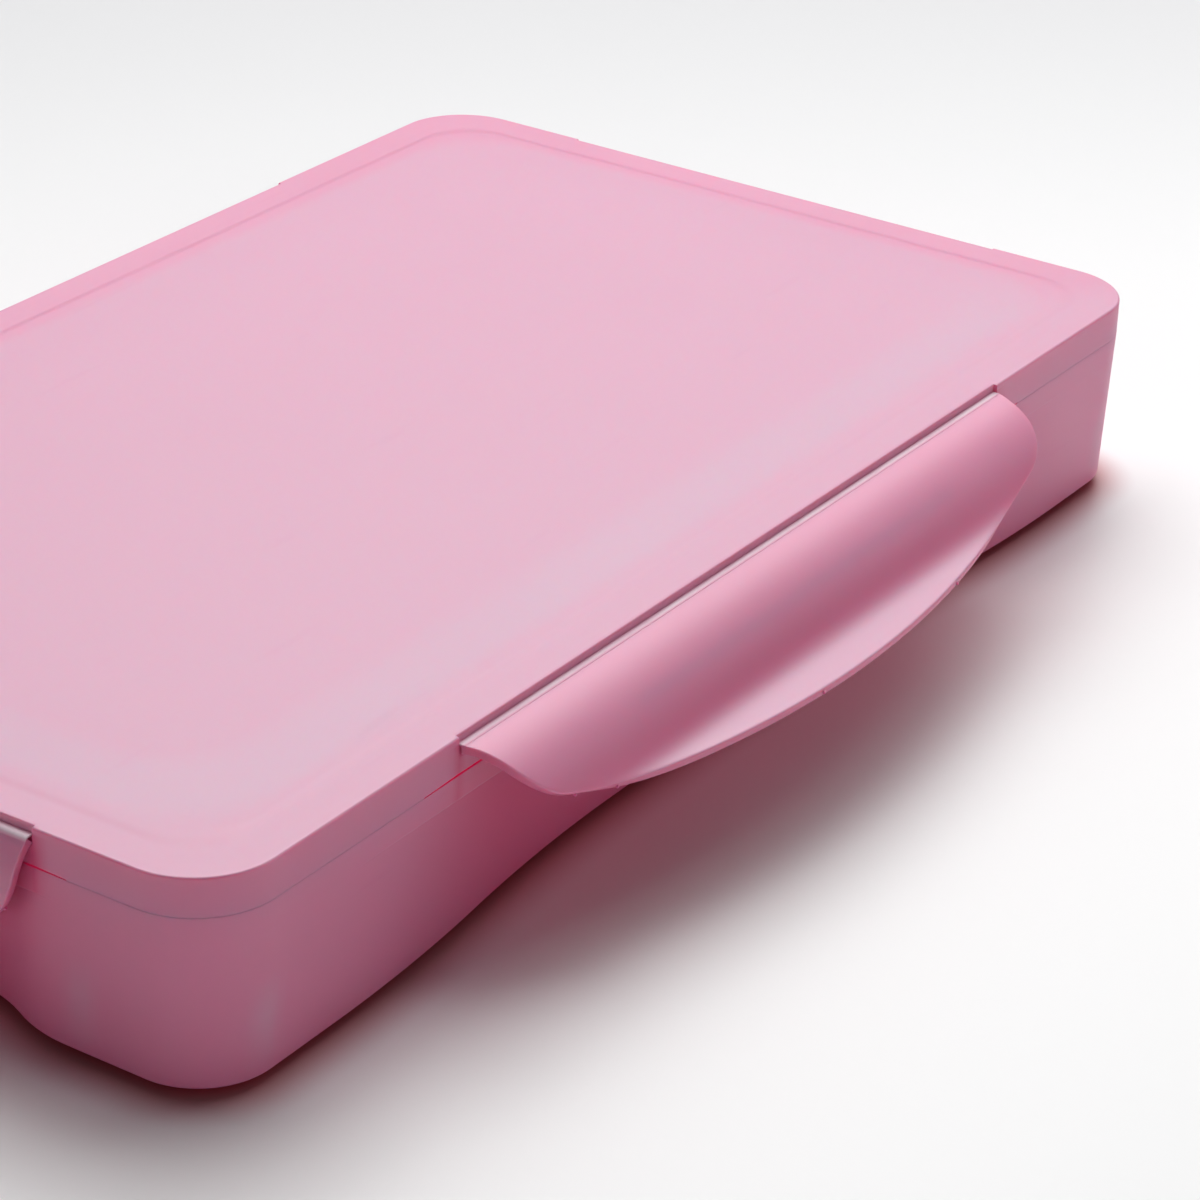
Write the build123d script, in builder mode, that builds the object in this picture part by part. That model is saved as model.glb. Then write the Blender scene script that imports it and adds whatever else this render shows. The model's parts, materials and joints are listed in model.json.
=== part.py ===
from build123d import *
import os
from math import asin, atan, cos, degrees, radians, sin, sqrt, tan

# A flat plastic case for eighteen gouache cups.  The lid lifts off, and a flap on each side of
# the lid folds down on a living hinge and hooks under the rim of the base.
# Frame: +X along the long side, +Z up, origin at the middle of the underside.  Millimetres.
# Heights are worked out from the foot of the walls, and every piece is lifted by the foot's height
# when it is written.

# ---------------------------------------------------------------- driving dimensions: the case
case_length = 320.0
case_width = 186.3
corner_radius = 16.1
base_height = 33.5
draft_inset = 1.4            # how far each side of the base draws in at its foot
wall = 2.0
floor = 2.0
foot_edge = 0.6              # rounding where the walls meet the underside
foot_height = 2.0            # the underside steps down by this much, and the case stands on it
foot_margin = 8.0            # from the walls' foot in to that step

skirt_height = 7.5           # the lid's side wall, down to the parting line
lid_thickness = 1.8
lid_edge = 1.3               # rounding of the lid's top edge
panel_margin = 8.0           # flat border round the raised panel
panel_slope = 4.5            # width of the slope up to the panel
panel_rise = 0.5

lip = 0.9                    # what is left of the skirt outside the base's tongue
tongue_height = 2.5
fit_gap = 0.2                # running clearance between pieces that lift apart

# ---------------------------------------------------------------- finger recesses in the base
rim_height = 5.0             # the catch rim left above the recesses
recess_depth = 5.7
long_recess_start = 32.0     # from the end of the case to where a long wall turns in
long_recess_flat = 70.0      # along the side, where it runs straight again
short_recess_start = 33.15   # the same on a short wall
short_recess_flat = 70.0

# ---------------------------------------------------------------- latch flaps
flap_sheet = 1.7
long_flap = 187.0
short_flap = 111.0
hinge_drop = 2.4             # hinge axis below the lid's border
hinge_proud = 0.3            # hinge axis outside the skirt
hinge_gap = 0.08             # between the flap's round root and its groove
hinge_step = 0.8             # how far the lid's edge is set back above a flap
shoulder_angle = 30.0        # of the latched flap, from the vertical: out, in, then out again
valley_angle = 30.0
lip_angle = 23.0
shoulder_length = 17.6       # measured along the sheet
lip_bend = 7.8               # the sharp bend from the valley out to the lip
lip_flat = 5.5               # the straight lip beyond it
long_end_reach = 14.5        # each end's reach below the hinge; the free edge between is an arc
short_end_reach = 13.0
end_slant = 4.0              # how much each end draws in by the time it meets the free edge
flap_corner = 14.0
slot_height = 0.5            # dark gap between skirt and rim, a little longer than the flap
slot_overrun_long = 10.0
slot_overrun_short = 7.0
hook_depth = 1.0             # how far the hook passes under the rim
hook_height = 1.6
hook_gap = 0.25
long_hook = 110.0
short_hook = 56.0
front_opening = 59.0         # at rest the front flap stands open by this much
side_opening = 8.0           # and the other three hang free of the rim

# ---------------------------------------------------------------- paint cups and their rack
cup_body = 42.4              # across the body, at the flange
cup_depth = 22.0             # below the flange
cup_taper = 3.0
cup_corner = 6.0
cup_wall = 0.9
cup_flange = 46.4
cup_flange_thickness = 1.0
cup_foot_round = 1.5
cup_lift_off = 1.0           # space under each cup
seat_gap = 0.1               # under a cup's flange, so that it lifts out freely
paint_headroom = 2.0
paint_gap = 0.05
film = 0.25
peel_corner = 9.0            # the film is left square at one corner, to peel it by
rack_sheet = 1.5
rack_gap = 0.6               # between the rack and the base walls
rack_corner = 5.0
rack_margin = 1.6            # beside the cups along the front, and behind the trough
rack_end_margin = 5.7        # beside the cups at each end
hole_gap = 0.5
rib_sheet = 1.2
rib_drop = 7.0

# ---------------------------------------------------------------- brush trough and brushes
trough_wall = 1.2
trough_width = 19.1          # over its walls
trough_depth = 15.5
trough_end_margin = 12.0
trough_corner = 4.0
handle_radius = 3.1
handle_tip_radius = 1.3
handle_length = 132.0
handle_swell = 0.62          # share of the handle up to its thickest place
ferrule_length = 24.0
ferrule_radius = 2.8
ferrule_wall = 0.4
crimp_depth = 0.2
crimp_width = 1.0
crimp_places = (3.5, 6.0)    # from the handle's end of the ferrule
tenon_length = 10.0
tuft_radius = 2.9
tuft_lengths = (13.0, 16.0, 19.0)
tuft_root = 8.0
tuft_belly = 0.35            # share of the tuft up to its thickest place
tuft_point_radius = 0.3
bore_gap = 0.05              # round the handle's tenon and the tuft's root in the ferrule
brush_gap = 0.25

# ---------------------------------------------------------------- mixing palette
tray_gap = 1.0               # between the palette's rim and the case walls
tray_sheet = 1.3
tray_top_gap = 1.0           # under the lid
tray_clear = 0.6             # above the cups
well_gap = 5.0
well_taper = 12.0
well_corner = 7.0
large_wells = 3
large_well_width = 92.0
small_wells = 9
small_rows = 2
small_well_width = 27.5
small_well_depth = 4.0

# ---------------------------------------------------------------- places worked out from these
border_height = base_height + skirt_height
hinge_height = border_height - hinge_drop
draft = degrees(atan(draft_inset / base_height))
rim_foot = base_height - rim_height
half_length = case_length / 2
half_width = case_width / 2
flap_root = flap_sheet / 2
shoulder_radius = shoulder_length / radians(shoulder_angle + valley_angle)
lip_radius = lip_bend / radians(valley_angle + lip_angle)
flap_drop = shoulder_radius * (sin(radians(shoulder_angle)) + sin(radians(valley_angle)))
flap_drop += lip_radius * (sin(radians(valley_angle)) + sin(radians(lip_angle)))
flap_drop += lip_flat * cos(radians(lip_angle))

long_recess_opening = case_length - 2 * long_recess_start
short_recess_opening = case_width - 2 * short_recess_start

rack_top = floor + cup_lift_off + cup_depth
rack_length = 2 * (half_length - recess_depth - wall - draft_inset - rack_gap)
rack_width = 2 * (half_width - recess_depth - wall - draft_inset - rack_gap)
cups_length = rack_length - 2 * rack_end_margin
cups_width = rack_width - 2 * rack_margin - trough_width
columns = int(cups_length / cup_flange)
rows = int(cups_width / cup_flange)
column_pitch = cups_length / columns
row_pitch = cups_width / rows
cups_y = rack_margin + cups_width / 2 - rack_width / 2
trough_length = rack_length - 2 * trough_end_margin
trough_y = rack_width / 2 - rack_margin - trough_width / 2
cup_seat = rack_top + seat_gap
cup_mouth = cup_body - 2 * cup_wall
paint_headroom_below = paint_headroom - cup_flange_thickness
paint_top = cup_seat - paint_headroom_below

tray_inset = wall + tray_gap
tray_top = border_height - lid_thickness - tray_top_gap
ledge_height = rim_foot + wall
cups_top = cup_seat + cup_flange_thickness + film
large_well_depth = tray_top - cups_top - tray_clear - tray_sheet
wells_length = rack_length - 2 * tray_gap - 2 * tray_sheet
wells_width = large_well_width + small_rows * (small_well_width + well_gap)
large_well_length = (wells_length - (large_wells - 1) * well_gap) / large_wells
small_well_length = (wells_length - (small_wells - 1) * well_gap) / small_wells
large_wells_y = (large_well_width - wells_width) / 2
small_pitch = small_well_width + well_gap
small_wells_y = (wells_width - small_rows * small_pitch + well_gap) / 2

neck_radius = ferrule_radius - ferrule_wall - bore_gap
brush_length = handle_length - tenon_length + ferrule_length + max(tuft_lengths)
brush_side_step = handle_radius + brush_gap / 2
brush_low = rack_top - trough_depth + brush_gap + handle_radius
brush_high = brush_low + sqrt((2 * handle_radius + brush_gap) ** 2 - brush_side_step**2)
brush_places = (
    (-brush_length / 2, trough_y - brush_side_step, brush_low),
    (-brush_length / 2, trough_y + brush_side_step, brush_low),
    (-brush_length / 2, trough_y, brush_high),
)

LONG = dict(
    edge=half_width,
    flap=long_flap,
    end_reach=long_end_reach,
    hook=long_hook,
    overrun=slot_overrun_long,
)
SHORT = dict(
    edge=half_length,
    flap=short_flap,
    end_reach=short_end_reach,
    hook=short_hook,
    overrun=slot_overrun_short,
)
SIDES = {
    "front": dict(LONG, along=(1, 0, 0), turn=0, opening=front_opening),
    "back": dict(LONG, along=(-1, 0, 0), turn=180, opening=side_opening),
    "left": dict(SHORT, along=(0, -1, 0), turn=-90, opening=side_opening),
    "right": dict(SHORT, along=(0, 1, 0), turn=90, opening=side_opening),
}


def side_plane(side, height):
    """Level plane on the middle of a side: x runs along the side and y points into the case."""
    along = Vector(*side["along"])
    inward = Vector(0, 0, 1).cross(along)
    origin = inward * -side["edge"] + Vector(0, 0, height)
    return Plane(origin=origin, x_dir=along, z_dir=(0, 0, 1))


def section_plane(side):
    """Upright plane across a side at its hinge axis: x points out of the case and y points up."""
    middle = side_plane(side, hinge_height)
    outward = -middle.y_dir
    return Plane(
        origin=middle.origin + outward * hinge_proud, x_dir=outward, z_dir=outward.cross(Vector(0, 0, 1))
    )


def case_outline(inset, mode=Mode.ADD):
    """The case's plan outline, drawn in by an inset."""
    RectangleRounded(case_length - 2 * inset, case_width - 2 * inset, corner_radius - inset, mode=mode)


def ogee(start, end, tangent):
    """Two equal arcs that leave the start along the tangent and reach the end parallel to it."""
    middle = ((start[0] + end[0]) / 2, (start[1] + end[1]) / 2)
    first = TangentArc(start, middle, tangent=tangent)
    TangentArc(middle, end, tangent=first % 1)


def recessed_outline(inset):
    """Plan outline of the base wall: each side turns in through an ogee to a finger recess."""
    long_line = recess_depth - half_width
    short_line = recess_depth - half_length
    with BuildLine(Plane.XY) as outline:
        Line((0, long_line), (-long_recess_flat / 2, long_line))
        ogee((-long_recess_flat / 2, long_line), (-long_recess_opening / 2, -half_width), (-1, 0))
        Line((-long_recess_opening / 2, -half_width), (corner_radius - half_length, -half_width))
        TangentArc(
            (corner_radius - half_length, -half_width),
            (-half_length, corner_radius - half_width),
            tangent=(-1, 0),
        )
        Line((-half_length, corner_radius - half_width), (-half_length, -short_recess_opening / 2))
        ogee((-half_length, -short_recess_opening / 2), (short_line, -short_recess_flat / 2), (0, 1))
        Line((short_line, -short_recess_flat / 2), (short_line, 0))
        mirror(about=Plane.XZ)
        mirror(about=Plane.YZ)
    make_face(outline.edges())
    if inset > 0:
        offset(amount=-inset, kind=Kind.INTERSECTION)


# ---------------------------------------------------------------- base of the case
with BuildPart() as case_base:
    # the drafted wall with its four recesses, then the full rim that overhangs them
    with BuildSketch(Plane.XY.offset(base_height)):
        recessed_outline(0)
    extrude(amount=-base_height, taper=draft)
    fillet(case_base.faces().sort_by(Axis.Z)[0].edges(), radius=foot_edge)
    with BuildSketch(Plane.XY.offset(base_height)):
        case_outline(0)
    extrude(amount=-rim_height, taper=draft)
    # the hollow follows the same two outlines a wall's thickness inside them
    with BuildSketch(Plane.XY.offset(base_height)):
        recessed_outline(wall)
    extrude(amount=floor - base_height, taper=draft, mode=Mode.SUBTRACT)
    with BuildSketch(Plane.XY.offset(base_height)):
        case_outline(wall)
    extrude(amount=wall - rim_height, taper=draft, mode=Mode.SUBTRACT)
    # the step under the case, dished so that its sheet is as thick as the floor
    with BuildSketch(Plane.XY):
        recessed_outline(draft_inset + foot_margin)
    extrude(amount=-foot_height)
    with BuildSketch(Plane.XY.offset(floor)):
        recessed_outline(draft_inset + foot_margin + wall)
    extrude(amount=-foot_height, mode=Mode.SUBTRACT)
    # the tongue that locates the lid
    with BuildSketch(Plane.XY.offset(base_height)):
        case_outline(lip + fit_gap)
        case_outline(wall, mode=Mode.SUBTRACT)
    extrude(amount=tongue_height)

# ---------------------------------------------------------------- lid
with BuildPart() as lid:
    with BuildSketch(Plane.XY.offset(base_height)):
        case_outline(0)
    extrude(amount=skirt_height)
    fillet(lid.faces().sort_by(Axis.Z)[-1].edges(), radius=lid_edge)
    # the panel stands a little proud of the flat border, behind a soft slope
    with BuildSketch(Plane.XY.offset(border_height)):
        case_outline(panel_margin)
    with BuildSketch(Plane.XY.offset(border_height + panel_rise)):
        case_outline(panel_margin + panel_slope)
    loft()
    with BuildSketch(Plane.XY.offset(base_height)):
        case_outline(wall)
    extrude(amount=skirt_height - lid_thickness, mode=Mode.SUBTRACT)
    # rebate over the tongue of the base
    with BuildSketch(Plane.XY.offset(base_height)):
        case_outline(lip)
    extrude(amount=tongue_height + fit_gap, mode=Mode.SUBTRACT)
    for side in SIDES.values():
        seat = side["flap"] + 2 * fit_gap
        # set-back edge above the flap, the groove its root turns in, and the slot under the skirt
        with BuildSketch(side_plane(side, hinge_height)):
            Rectangle(seat, 2 * hinge_step)
        extrude(amount=2 * hinge_drop, mode=Mode.SUBTRACT)
        with BuildSketch(section_plane(side)):
            Circle(flap_root + hinge_gap)
            Rectangle(
                2 * (flap_root + hinge_gap),
                2 * flap_sheet,
                rotation=shoulder_angle,
                align=(Align.CENTER, Align.MAX),
            )
        extrude(amount=seat / 2, both=True, mode=Mode.SUBTRACT)
        with BuildSketch(side_plane(side, base_height)):
            Rectangle(seat + 2 * side["overrun"], 2 * lip)
        extrude(amount=slot_height, mode=Mode.SUBTRACT)


# ---------------------------------------------------------------- latch flaps
def make_latch(side):
    """One flap, latched, with its hinge axis on the X axis and its outside towards -Y.

    The sheet's section is a rounded shoulder, a sharp bend and a flared lip, and its outline in
    elevation is a shallow arc between two rounded corners.
    """
    half = side["flap"] / 2
    hook_top = hinge_height - rim_foot + hook_gap
    hook_turn = asin(sin(radians(shoulder_angle)) - hook_top / shoulder_radius)
    hook_root = shoulder_radius * (cos(hook_turn) - cos(radians(shoulder_angle)))
    hook_tip = -hinge_proud - hook_depth
    across = Plane(origin=(0, 0, 0), x_dir=(0, -1, 0), z_dir=(-1, 0, 0))
    with BuildPart() as latch:
        with BuildSketch(across):
            with BuildLine() as sheet:
                start = (sin(radians(shoulder_angle)), -cos(radians(shoulder_angle)))
                shoulder = JernArc((0, 0), start, shoulder_radius, -shoulder_angle - valley_angle)
                bend = JernArc(shoulder @ 1, shoulder % 1, lip_radius, valley_angle + lip_angle)
                Line(bend @ 1, bend @ 1 + bend % 1 * lip_flat)
            trace(sheet.edges(), line_width=flap_sheet)
        extrude(amount=half, both=True)
        with BuildSketch(Plane.XZ) as elevation:
            with BuildLine():
                corner = (end_slant - half, -side["end_reach"])
                free_edge = ThreePointArc(corner, (0, -flap_drop), (-corner[0], corner[1]))
                Polyline(free_edge @ 0, (-half, 0), (-half, flap_sheet))
                Polyline((-half, flap_sheet), (half, flap_sheet), (half, 0), free_edge @ 1)
            make_face()
            fillet(elevation.vertices().group_by(Axis.Y)[0], radius=flap_corner)
        extrude(amount=flap_drop, both=True, mode=Mode.INTERSECT)
        with BuildSketch(across):
            Circle(flap_root)
        extrude(amount=half, both=True)
        # the hook that passes under the rim
        with BuildSketch(across):
            Polygon(
                (hook_root, -hook_top),
                (hook_tip, -hook_top),
                (hook_tip, -hook_top - hook_height / 3),
                (hook_root - flap_root, -hook_top - hook_height),
                (hook_root, -hook_top - hook_height),
                align=None,
            )
        extrude(amount=side["hook"] / 2, both=True)
    return latch.part


def hang_latch(side):
    """Place a flap on its hinge, opened by its angle at rest."""
    hinge = section_plane(side).origin
    place = Location(hinge, (0, 0, side["turn"])) * Location((0, 0, 0), (-side["opening"], 0, 0))
    return make_latch(side).moved(place)


# ---------------------------------------------------------------- rack
with BuildPart() as cup_rack:
    with BuildSketch(Plane.XY.offset(floor)):
        RectangleRounded(rack_length, rack_width, rack_corner)
    extrude(amount=rack_top - floor)
    with BuildSketch(Plane.XY.offset(floor)):
        inside = rack_length - 2 * rack_sheet
        RectangleRounded(inside, rack_width - 2 * rack_sheet, rack_corner - rack_sheet)
    extrude(amount=rack_top - floor - rack_sheet, mode=Mode.SUBTRACT)
    # ribs between the cups
    with BuildSketch(Plane.XY.offset(rack_top - rack_sheet)):
        with Locations((0, cups_y)):
            with GridLocations(column_pitch, 0, columns - 1, 1):
                Rectangle(rib_sheet, cups_width)
            with GridLocations(0, row_pitch, 1, rows - 1):
                Rectangle(cups_length, rib_sheet)
    extrude(amount=-rib_drop)
    with BuildSketch(Plane.XY.offset(rack_top)):
        with Locations((0, cups_y)):
            with GridLocations(column_pitch, row_pitch, columns, rows):
                hole = cup_body + 2 * hole_gap
                RectangleRounded(hole, hole, cup_corner + hole_gap)
    extrude(amount=-rack_sheet, mode=Mode.SUBTRACT)
    # trough for the brushes along the back
    with BuildSketch(Plane.XY.offset(rack_top)):
        with Locations((0, trough_y)):
            RectangleRounded(trough_length, trough_width, trough_corner)
    extrude(amount=-trough_depth - trough_wall)
    with BuildSketch(Plane.XY.offset(rack_top)):
        with Locations((0, trough_y)):
            inside = trough_length - 2 * trough_wall
            RectangleRounded(inside, trough_width - 2 * trough_wall, trough_corner - trough_wall)
    extrude(amount=-trough_depth, mode=Mode.SUBTRACT)

# ---------------------------------------------------------------- one cup and its paint
with BuildPart() as cup:
    with BuildSketch(Plane.XY.offset(cup_seat)):
        RectangleRounded(cup_body, cup_body, cup_corner)
    extrude(amount=-cup_depth, taper=cup_taper)
    fillet(cup.faces().sort_by(Axis.Z)[0].edges(), radius=cup_foot_round)
    with BuildSketch(Plane.XY.offset(cup_seat)):
        RectangleRounded(cup_flange, cup_flange, cup_corner + (cup_flange - cup_body) / 2)
    extrude(amount=cup_flange_thickness)
    with BuildSketch(Plane.XY.offset(cup_seat)):
        RectangleRounded(cup_mouth, cup_mouth, cup_corner - cup_wall)
    extrude(amount=cup_wall - cup_depth, taper=cup_taper, mode=Mode.SUBTRACT)
    with BuildSketch(Plane.XY.offset(cup_seat)):
        RectangleRounded(cup_mouth, cup_mouth, cup_corner - cup_wall)
    extrude(amount=cup_flange_thickness, mode=Mode.SUBTRACT)

with BuildPart() as paint:
    with BuildSketch(Plane.XY.offset(paint_top)):
        fill = cup_mouth - 2 * paint_gap - 2 * paint_headroom_below * tan(radians(cup_taper))
        RectangleRounded(fill, fill, cup_corner - cup_wall - paint_gap)
    extrude(amount=cup_seat - cup_depth + cup_wall + paint_gap - paint_top, taper=cup_taper)

with BuildPart() as peel_films:
    # a clear film over each cup, left square at one corner
    with BuildSketch(Plane.XY.offset(cup_seat + cup_flange_thickness)):
        with Locations((0, cups_y)):
            with GridLocations(column_pitch, row_pitch, columns, rows):
                RectangleRounded(cup_flange, cup_flange, cup_corner + (cup_flange - cup_body) / 2)
                with Locations(((cup_flange - peel_corner) / 2, (peel_corner - cup_flange) / 2)):
                    Rectangle(peel_corner, peel_corner)
    extrude(amount=film)

# ---------------------------------------------------------------- palette
def well_block(length, width, grow):
    """Plan of one well, grown all round."""
    RectangleRounded(length + 2 * grow, width + 2 * grow, well_corner + grow)


with BuildPart() as palette_tray:
    with BuildSketch(Plane.XY.offset(tray_top)):
        case_outline(tray_inset)
    extrude(amount=ledge_height + fit_gap - tray_top)
    with BuildSketch(Plane.XY.offset(ledge_height + fit_gap)):
        case_outline(tray_inset + tray_sheet)
    extrude(amount=tray_top - tray_sheet - ledge_height - fit_gap, mode=Mode.SUBTRACT)
    # each row of wells, first as solid blocks under the sheet and then as their hollows
    for grow, cut in ((tray_sheet, Mode.ADD), (0, Mode.SUBTRACT)):
        with BuildSketch(Plane.XY.offset(tray_top)):
            with Locations((0, large_wells_y)):
                with GridLocations(large_well_length + well_gap, 0, large_wells, 1):
                    well_block(large_well_length, large_well_width, grow)
        extrude(amount=-large_well_depth - grow, taper=well_taper, mode=cut)
        with BuildSketch(Plane.XY.offset(tray_top)):
            with Locations((0, small_wells_y)):
                with GridLocations(small_well_length + well_gap, small_pitch, small_wells, small_rows):
                    well_block(small_well_length, small_well_width, grow)
        extrude(amount=-small_well_depth - grow, taper=well_taper, mode=cut)


# ---------------------------------------------------------------- brushes
def make_brush(tuft_length):
    """Handle, ferrule and tuft, turned about the X axis with the handle's tip at the origin."""
    bore = ferrule_radius - ferrule_wall
    shoulder = handle_length - tenon_length
    with BuildPart() as handle:
        with BuildSketch(Plane.XZ):
            with BuildLine():
                tip_centre = (handle_tip_radius, 0)
                tip = CenterArc(tip_centre, handle_tip_radius, 180, -90)
                swell = Spline(
                    tip @ 1,
                    (handle_length * handle_swell, handle_radius),
                    (shoulder, neck_radius),
                    tangents=((1, 0), (1, 0)),
                )
                Polyline(swell @ 1, (handle_length, neck_radius), (handle_length, 0), (0, 0))
            make_face()
        revolve(axis=Axis.X)
    with BuildPart() as ferrule:
        with BuildSketch(Plane.XZ):
            with Locations((shoulder, bore)):
                Rectangle(ferrule_length, ferrule_wall, align=(Align.MIN, Align.MIN))
            with Locations(*[(shoulder + place, ferrule_radius) for place in crimp_places]):
                Rectangle(crimp_width, 2 * crimp_depth, mode=Mode.SUBTRACT)
        revolve(axis=Axis.X)
    with BuildPart() as tuft:
        root = shoulder + ferrule_length - tuft_root
        mouth = shoulder + ferrule_length
        with BuildSketch(Plane.XZ):
            with BuildLine():
                belly = Spline(
                    (mouth, neck_radius),
                    (mouth + tuft_length * tuft_belly, tuft_radius),
                    (mouth + tuft_length, tuft_point_radius),
                )
                Polyline(belly @ 0, (root, neck_radius), (root, 0))
                Polyline((root, 0), (mouth + tuft_length, 0), belly @ 1)
            make_face()
        revolve(axis=Axis.X)
    return handle.part, ferrule.part, tuft.part


# ---------------------------------------------------------------- written pieces
def write(part, name, place=Location()):
    """Write one piece, lifted by the foot and moved to its place, under its node's name."""
    piece = part.moved(Location((0, 0, foot_height)) * place)
    piece.label = name
    export_step(piece, f"parts/{name}.step")


os.makedirs("parts", exist_ok=True)
write(case_base.part, "case_base")
write(lid.part, "lid")
write(cup_rack.part, "cup_rack")
write(palette_tray.part, "palette_tray")
write(peel_films.part, "peel_films")
for name, side in SIDES.items():
    write(hang_latch(side), f"latch_{name}")

cells = [
    ((column - (columns - 1) / 2) * column_pitch, cups_y + ((rows - 1) / 2 - row) * row_pitch)
    for row in range(rows)
    for column in range(columns)
]
for number, (x, y) in enumerate(cells, start=1):
    write(cup.part, f"cup_{number:02d}", Location((x, y, 0)))
    write(paint.part, f"paint_{number:02d}", Location((x, y, 0)))

for number, tuft_length in enumerate(tuft_lengths, start=1):
    place = Location(brush_places[number - 1])
    for part, kind in zip(make_brush(tuft_length), ("handle", "ferrule", "tuft")):
        write(part, f"brush_{number}_{kind}", place)
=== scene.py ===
import json
from math import acos, atan2, cos, pi, radians, sin, sqrt, tan

import bmesh
import bpy
import numpy as np
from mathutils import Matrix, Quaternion, Vector


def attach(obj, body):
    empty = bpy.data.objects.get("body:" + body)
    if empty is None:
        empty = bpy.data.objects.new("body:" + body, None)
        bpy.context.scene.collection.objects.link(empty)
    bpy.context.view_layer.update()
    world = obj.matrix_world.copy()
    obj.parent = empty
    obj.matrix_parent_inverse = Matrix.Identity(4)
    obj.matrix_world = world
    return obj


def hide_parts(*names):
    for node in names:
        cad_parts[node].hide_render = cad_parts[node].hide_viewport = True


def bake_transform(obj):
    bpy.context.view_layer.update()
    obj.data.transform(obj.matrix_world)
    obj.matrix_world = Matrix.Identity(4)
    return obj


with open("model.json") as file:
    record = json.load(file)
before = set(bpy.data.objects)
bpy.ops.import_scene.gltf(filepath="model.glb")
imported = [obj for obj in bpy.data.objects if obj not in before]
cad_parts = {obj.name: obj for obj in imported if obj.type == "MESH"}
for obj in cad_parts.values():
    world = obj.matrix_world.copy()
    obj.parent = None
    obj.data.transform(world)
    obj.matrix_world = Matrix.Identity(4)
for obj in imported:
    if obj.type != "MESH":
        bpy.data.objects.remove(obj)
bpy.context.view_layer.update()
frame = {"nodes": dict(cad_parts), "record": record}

MM = 0.001
FAR = 1e6                            # a place along a side that no side reaches: it marks a corner

# ---------------------------------------------------------------- sizes of the case, in millimetres
# heights are taken from the foot of the walls, which stands a step's height above the floor
FOOT = 2.0
FOOT_MARGIN = 8.0                    # from the walls' foot in to the step
HALF = np.array([160.0, 93.15])      # half the case's length and width
CORNER = 16.1
PANEL_CORNER = 44.0                  # the lid's crowned panel turns in a wider arc than its border
CORNER_STEPS = 24
RIM_TOP = 33.5                       # the parting line between base and lid
RIM_FOOT = 28.5                      # underside of the catch rim
DRAFT = 1.4                          # how far the walls draw in at the foot
WALL = 2.0
TONGUE = 2.5                         # how far the base's tongue stands up inside the lid's lip
FIT = 0.2                            # clearance round the tongue
STEP = 0.05                          # half the width of a sudden change along a side
SPACING = 2.0                        # between the even places along a side

BORDER = 41.0                        # the lid's flat border
LID_EDGE = 0.5
LID_SHEET = 1.8
LIP = 0.9                            # thickness of the lid's lip outside the tongue
LIP_GAP = 0.003                      # keeps the lip's foot off the rim
SKIRT_FOOT = 36.5                    # below it the skirt is the same all round, but for the slots
BORDER_START = 1.75                  # from the case's outline in to the flat border
CROWN = (0.22, 0.26)                 # what the panel rises by at its edge, and towards its middle

# in each pair below, the long sides' size comes first
RECESS_DEPTH = 5.7
RECESS_OPENING = (256.0, 120.0)
RECESS_FLAT = (70.0, 70.0)

FLAP_HALF = (93.5, 55.5)             # half the flap's length, at its hinge
FLAP_LENGTH = (30.9, 30.9)           # along the sheet, in the middle
FLAP_END_REACH = (15.2, 13.0)        # along the sheet, at its slanted ends
FLAP_SLANT = (4.0, 1.5)              # how far an end slants in over that reach
FLAP_CORNER = 14.0
FLAP_SHEET = 1.7
FLAP_EDGE = 0.35                     # radius of the small rounds along the sheet's edge
VALLEY = 19.0                        # along the sheet, where it is drawn in most
SEAT_HALF = (93.7, 55.7)             # half the length of the hinge's seat in the lid
SLOT_HALF = (103.7, 62.7)            # half the length of the slot that the hook snaps into
SLOT_TOP = 33.95
BEND_FADE = 24.0                     # over this length the middle's section fades to the flap's end
HOOK_HALF = (55.0, 28.0)
HOOK = ((2.1, 10.35), (-1.3, 10.35), (-1.3, 10.88), (1.25, 11.9), (2.1, 11.9))  # the catch's section, out and down
HOOK_CORE = (1.0, 11.0)              # a place inside it, in the sheet
HINGE_HEIGHT = 38.6
HINGE_PROUD = 0.3                    # the hinge's axis lies this far outside the case
HINGE_STEP = 0.8                     # the lid's edge is set back this far above the hinge
GROOVE = 0.95                        # radius of the groove that the flap's root turns in
WEB = 0.3                            # thickness of the hinge's web
WEB_REACH = (1.08, 0.6)              # how far it lies on the lid's ledge, and how far on the flap
WEB_GAP = 0.03                       # between the root and the web
WEB_MARGIN = 0.15                    # the web is shorter than the flap by this at each end
OPENING = {"front": 59.0, "right": 8.0, "back": 8.0, "left": 8.0}  # degrees from latched, at rest
FACING = {"front": -90, "right": 0, "back": 90, "left": 180}  # each side's outward direction, in degrees from x
GATES = (27, 32, 58, 83, 111)        # the outline's points where the mould's gates have left a stub
GATE_RINGS = ((-0.3, 0, 0), (-0.3, 0.25, 0.5), (0.45, 0.15, 0.2), (0.45, 0, 0))  # reach, half width, half thickness

# ---------------------------------------------------------------- painted light and shade on the case, from 0 to 1
# the first table is how strongly a painted sheen and painted highlights pale the plastic, the second how strongly
# painted shade with its glow deepens it
SHEEN = {"smear": 0.6, "rim": 0.9, "hinge": 0.6, "sheet": 0.2, "lip": 0.65, "valley": 0.2, "edge": 0.3}
SHADE = {"wall": 0.6, "hinge": 0.15, "crease": 0.08, "valley": 0.16, "edge": 0.22, "gate": 0.35}
BORDER_SHEEN, RING_SHEEN = (0.35, 0.35), (0.75, 0.25)  # painted sheen on the lid's border and ring: everywhere, and what the near left corner adds
INSIDE_SHEEN = 0.25                  # what that corner loses inside the ring

# places in millimetres: where a tone starts, and over what width it rises
RING_AT, INSIDE_AT = (10.5, 5.5), (21.0, 10.0)         # in from the lid's outline
HINGE_TONE_AT = (HINGE_HEIGHT + 0.3, 0.4)
LIP_AT = (VALLEY, 5.0)
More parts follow.
